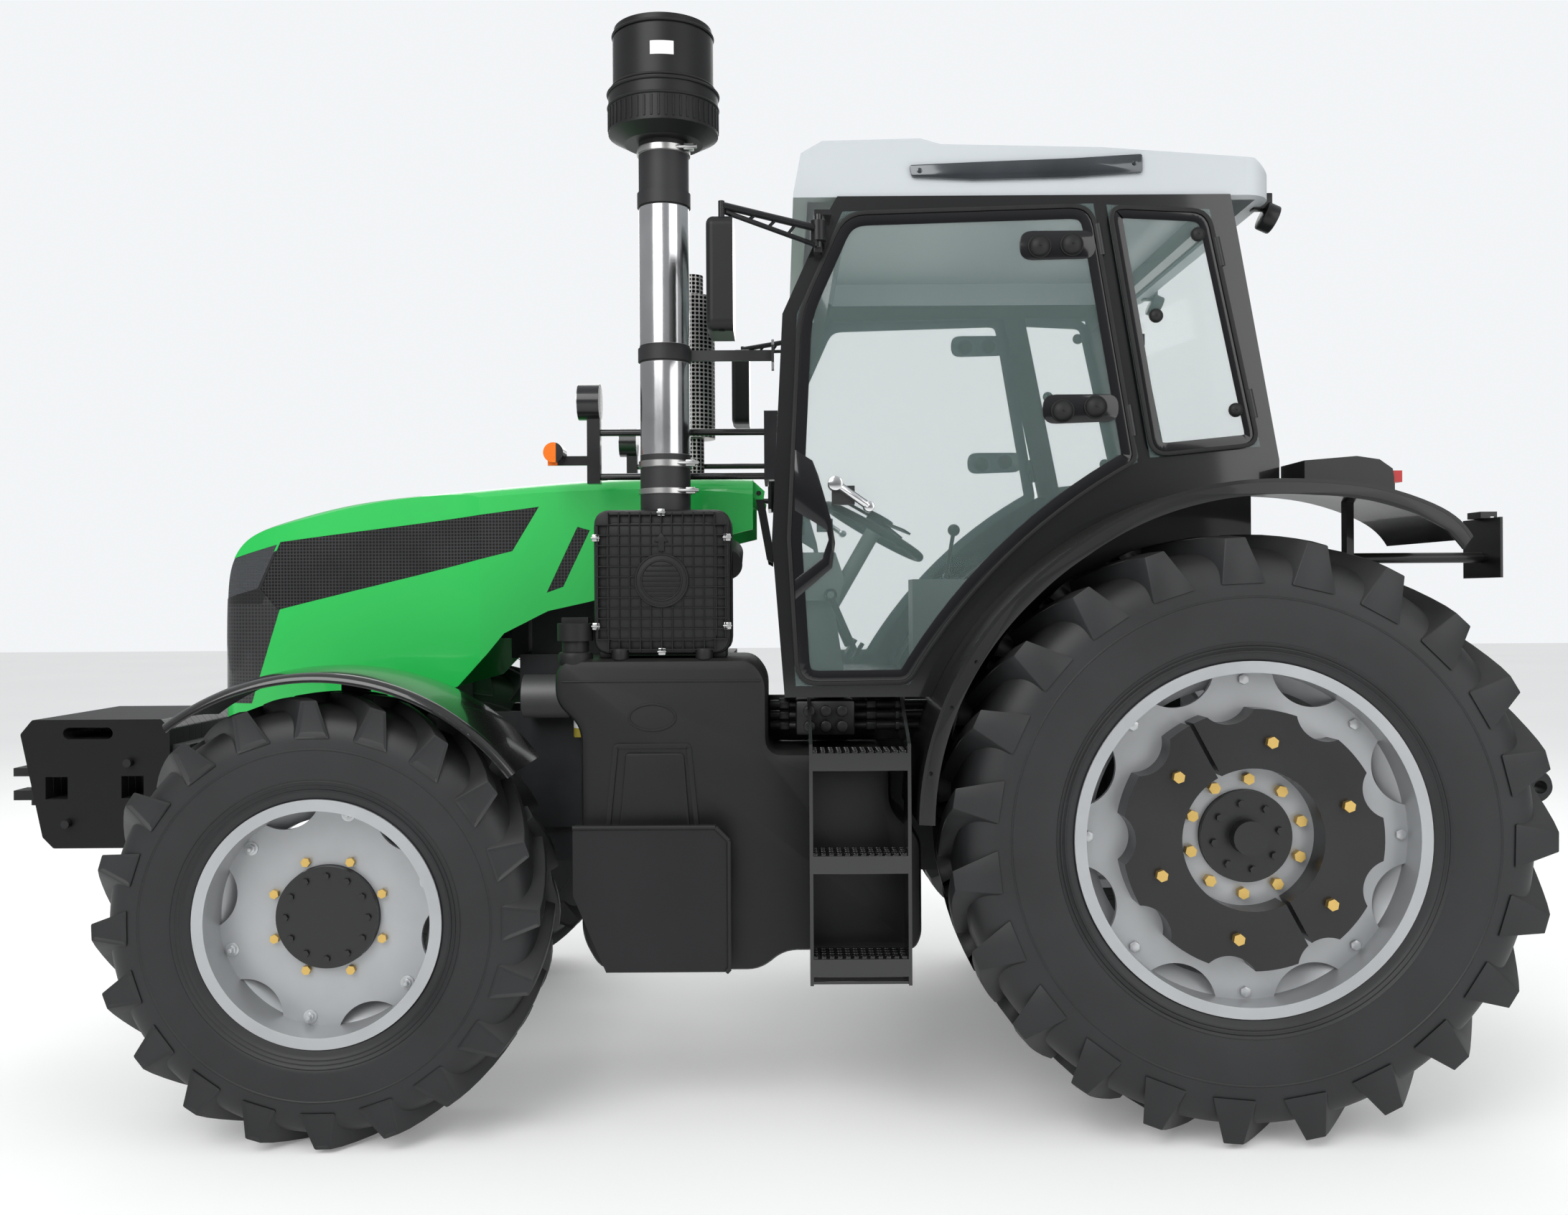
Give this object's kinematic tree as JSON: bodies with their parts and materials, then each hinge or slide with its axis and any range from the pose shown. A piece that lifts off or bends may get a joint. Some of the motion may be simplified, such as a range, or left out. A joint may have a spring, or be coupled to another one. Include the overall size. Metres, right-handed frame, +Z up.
{
  "type": "farm tractor",
  "caption": "Four-wheel-drive farm tractor with a glazed cab, front ballast, side intake stack, moulded tank and steps, and a rear lifting linkage.",
  "frame": {"origin": "on the ground, under the middle of the overall length and width", "axes": "+X from the nose to the tail, +Y to the driver's right, +Z up"},
  "size_m": [5.354, 2.237, 3.311],
  "materials": {
    "tyre": "moulded tread rubber",
    "rim": "silver-grey satin paint",
    "ballast": "black painted casting",
    "casting": "dark grey painted casting",
    "black_paint": "gloss black paint",
    "black_shell": "gloss black moulding",
    "black_plastic": "grained black moulding",
    "green": "bright green gloss paint",
    "mesh": "dark mesh and lamp inserts",
    "chrome": "polished pipe",
    "steel": "machined steel",
    "light_grey": "light grey moulding",
    "glass": "clear tinted glass",
    "cloth": "dark woven cover",
    "aluminium": "cast aluminium"
  },
  "bodies": {
    "chassis": {"front_frame": "casting", "front_weights": "ballast", "engine": "casting", "radiator": "aluminium", "gearbox": "casting", "rear_axle": "casting", "fuel_tank": "black_plastic", "battery_box": "black_paint", "air_cleaner_body": "black_plastic", "air_cleaner_cover": "black_plastic", "intake_pipe": "chrome", "precleaner": "black_plastic", "exhaust_stack": "steel", "steps": "black_paint", "cab_frame": "black_paint", "roof": "light_grey", "windshield": "glass", "rear_fenders": "black_plastic", "lamp_rails": "black_paint", "dashboard": "black_plastic"},
    "fuel_cap": {"fuel_cap": "black_plastic"},
    "fan": {"fan": "black_plastic"},
    "hood": {"hood": "green", "grille": "mesh"},
    "front_axle": {"axle_beam": "casting"},
    "rear_window": {"rear_window": "glass"},
    "seat": {"seat_base": "black_plastic", "seat_cushions": "cloth"},
    "steering_wheel": {"steering_wheel": "black_plastic"},
    "clutch_pedal": {"clutch_pedal": "black_paint"},
    "brake_pedals": {"brake_pedals": "black_paint"},
    "gear_lever": {"gear_lever": "black_plastic"},
    "lift_arms": {"lift_arms": "casting"},
    "lift_rods": {"lift_rods": "steel"},
    "lower_links": {"lower_links": "casting"},
    "top_link": {"top_link": "steel"},
    "drawbar": {"drawbar": "casting"},
    "pto_shaft": {"pto_shaft": "steel"},
    "knuckle_left": {"knuckle_left": "casting", "front_fender_left": "black_shell"},
    "front_wheel_left": {"tyre_front_left": "tyre", "rim_front_left": "rim"},
    "rear_wheel_left": {"tyre_rear_left": "tyre", "rim_rear_left": "rim", "weights_rear_left": "ballast"},
    "door_left": {"door_left": "glass"},
    "quarter_window_left": {"quarter_window_left": "glass"},
    "mirror_arm_left": {"mirror_arm_left": "steel"},
    "mirror_head_left": {"mirror_head_left": "black_plastic"},
    "knuckle_right": {"knuckle_right": "casting", "front_fender_right": "black_shell"},
    "front_wheel_right": {"tyre_front_right": "tyre", "rim_front_right": "rim"},
    "rear_wheel_right": {"tyre_rear_right": "tyre", "rim_rear_right": "rim", "weights_rear_right": "ballast"},
    "door_right": {"door_right": "glass"},
    "quarter_window_right": {"quarter_window_right": "glass"},
    "mirror_arm_right": {"mirror_arm_right": "steel"},
    "mirror_head_right": {"mirror_head_right": "black_plastic"}
  },
  "joints": [
    {"name": "axle_pivot", "type": "hinge", "parent": "chassis", "child": "front_axle", "pos_m": [-1.218, 0, 0.65], "axis": [1, 0, 0], "range_deg": [-6, 6]},
    {"name": "kingpin_left", "type": "hinge", "parent": "front_axle", "child": "knuckle_left", "pos_m": [-1.218, -0.76, 0.65], "axis": [0, 0, 1], "range_deg": [-28, 28]},
    {"name": "front_wheel_left_spin", "type": "hinge", "parent": "knuckle_left", "child": "front_wheel_left", "pos_m": [-1.218, -0.9, 0.65], "axis": [0, 1, 0], "continuous": true},
    {"name": "rear_wheel_left_spin", "type": "hinge", "parent": "chassis", "child": "rear_wheel_left", "pos_m": [1.442, -0.87, 0.875], "axis": [0, 1, 0], "continuous": true},
    {"name": "door_left_hinge", "type": "hinge", "parent": "chassis", "child": "door_left", "pos_m": [1.125, -0.812, 2.3675], "axis": [-0.1634, 0, 0.9866], "range_deg": [0, 50]},
    {"name": "quarter_window_left_hinge", "type": "hinge", "parent": "chassis", "child": "quarter_window_left", "pos_m": [1.487, -0.812, 2.38], "axis": [-0.204, 0, 0.979], "range_deg": [0, 20]},
    {"name": "mirror_arm_left_fold", "type": "hinge", "parent": "chassis", "child": "mirror_arm_left", "pos_m": [0.225, -0.85, 2.67], "axis": [0, 0, 1], "range_deg": [0, 60]},
    {"name": "mirror_head_left_turn", "type": "hinge", "parent": "mirror_arm_left", "child": "mirror_head_left", "pos_m": [-0.055, -1.096, 2.486], "axis": [0, 0, 1], "range_deg": [-20, 20]},
    {"name": "kingpin_right", "type": "hinge", "parent": "front_axle", "child": "knuckle_right", "pos_m": [-1.218, 0.76, 0.65], "axis": [0, 0, 1], "range_deg": [-28, 28]},
    {"name": "front_wheel_right_spin", "type": "hinge", "parent": "knuckle_right", "child": "front_wheel_right", "pos_m": [-1.218, 0.9, 0.65], "axis": [0, 1, 0], "continuous": true},
    {"name": "rear_wheel_right_spin", "type": "hinge", "parent": "chassis", "child": "rear_wheel_right", "pos_m": [1.442, 0.87, 0.875], "axis": [0, 1, 0], "continuous": true},
    {"name": "door_right_hinge", "type": "hinge", "parent": "chassis", "child": "door_right", "pos_m": [1.125, 0.812, 2.3675], "axis": [0.1634, 0, -0.9866], "range_deg": [0, 50]},
    {"name": "quarter_window_right_hinge", "type": "hinge", "parent": "chassis", "child": "quarter_window_right", "pos_m": [1.487, 0.812, 2.38], "axis": [0.204, 0, -0.979], "range_deg": [0, 20]},
    {"name": "mirror_arm_right_fold", "type": "hinge", "parent": "chassis", "child": "mirror_arm_right", "pos_m": [0.225, 0.85, 2.67], "axis": [0, 0, -1], "range_deg": [0, 60]},
    {"name": "mirror_head_right_turn", "type": "hinge", "parent": "mirror_arm_right", "child": "mirror_head_right", "pos_m": [-0.055, 1.096, 2.486], "axis": [0, 0, 1], "range_deg": [-20, 20]},
    {"name": "hood_hinge", "type": "hinge", "parent": "chassis", "child": "hood", "pos_m": [0.034, 0, 1.926], "axis": [0, 1, 0], "range_deg": [0, 45]},
    {"name": "rear_window_hinge", "type": "hinge", "parent": "chassis", "child": "rear_window", "pos_m": [1.49783, 0, 2.75255], "axis": [0, -1, 0], "range_deg": [0, 35]},
    {"name": "steering_wheel_turn", "type": "hinge", "parent": "chassis", "child": "steering_wheel", "pos_m": [0.455, 0, 1.828], "axis": [0.5008, 0, 0.8655], "continuous": true},
    {"name": "clutch_pedal_hinge", "type": "hinge", "parent": "chassis", "child": "clutch_pedal", "pos_m": [0.28, -0.207, 1.58], "axis": [0, 1, 0], "range_deg": [0, 12], "stiffness_Nm_per_rad": 30},
    {"name": "brake_pedals_hinge", "type": "hinge", "parent": "chassis", "child": "brake_pedals", "pos_m": [0.28, 0.26, 1.58], "axis": [0, 1, 0], "range_deg": [0, 12], "stiffness_Nm_per_rad": 40},
    {"name": "gear_lever_hinge", "type": "hinge", "parent": "chassis", "child": "gear_lever", "pos_m": [0.76, 0.425, 1.652], "axis": [0, 1, 0], "range_deg": [-12, 12]},
    {"name": "fan_spin", "type": "hinge", "parent": "chassis", "child": "fan", "pos_m": [-1.35, 0, 1.45], "axis": [1, 0, 0], "continuous": true},
    {"name": "fuel_cap_turn", "type": "hinge", "parent": "chassis", "child": "fuel_cap", "pos_m": [-0.512, -0.845, 1.471], "axis": [0, 0, 1], "range_deg": [0, 90]},
    {"name": "seat_slide", "type": "slide", "parent": "chassis", "child": "seat", "axis": [1, 0, 0], "range_m": [-0.075, 0.075]},
    {"name": "lower_links_lift", "type": "hinge", "parent": "chassis", "child": "lower_links", "pos_m": [1.66, 0, 0.52], "axis": [0, 1, 0], "range_deg": [0, 18]},
    {"name": "lift_arms_turn", "type": "hinge", "parent": "chassis", "child": "lift_arms", "pos_m": [1.706, 0, 1.06], "axis": [0, 1, 0], "range_deg": [0, 30]},
    {"name": "lift_rods_swing", "type": "hinge", "parent": "lift_arms", "child": "lift_rods", "pos_m": [2.00508, 0, 1.19946], "axis": [0, 1, 0], "range_deg": [-32, 0.5]},
    {"name": "top_link_swing", "type": "hinge", "parent": "chassis", "child": "top_link", "pos_m": [1.71, 0, 0.945], "axis": [0, 1, 0], "range_deg": [0, 15]},
    {"name": "drawbar_swing", "type": "hinge", "parent": "chassis", "child": "drawbar", "pos_m": [1.33, 0, 0.602], "axis": [0, 0, 1], "range_deg": [-10, 10]},
    {"name": "pto_spin", "type": "hinge", "parent": "chassis", "child": "pto_shaft", "pos_m": [1.7, 0, 0.73], "axis": [1, 0, 0], "continuous": true}
  ],
  "couplings": [
    {"joint": "kingpin_right", "follows": "kingpin_left", "ratio": 1},
    {"joint": "lift_arms_turn", "follows": "lower_links_lift", "ratio": 1.5157},
    {"joint": "lift_rods_swing", "follows": "lower_links_lift", "ratio": -1.5506}
  ]
}
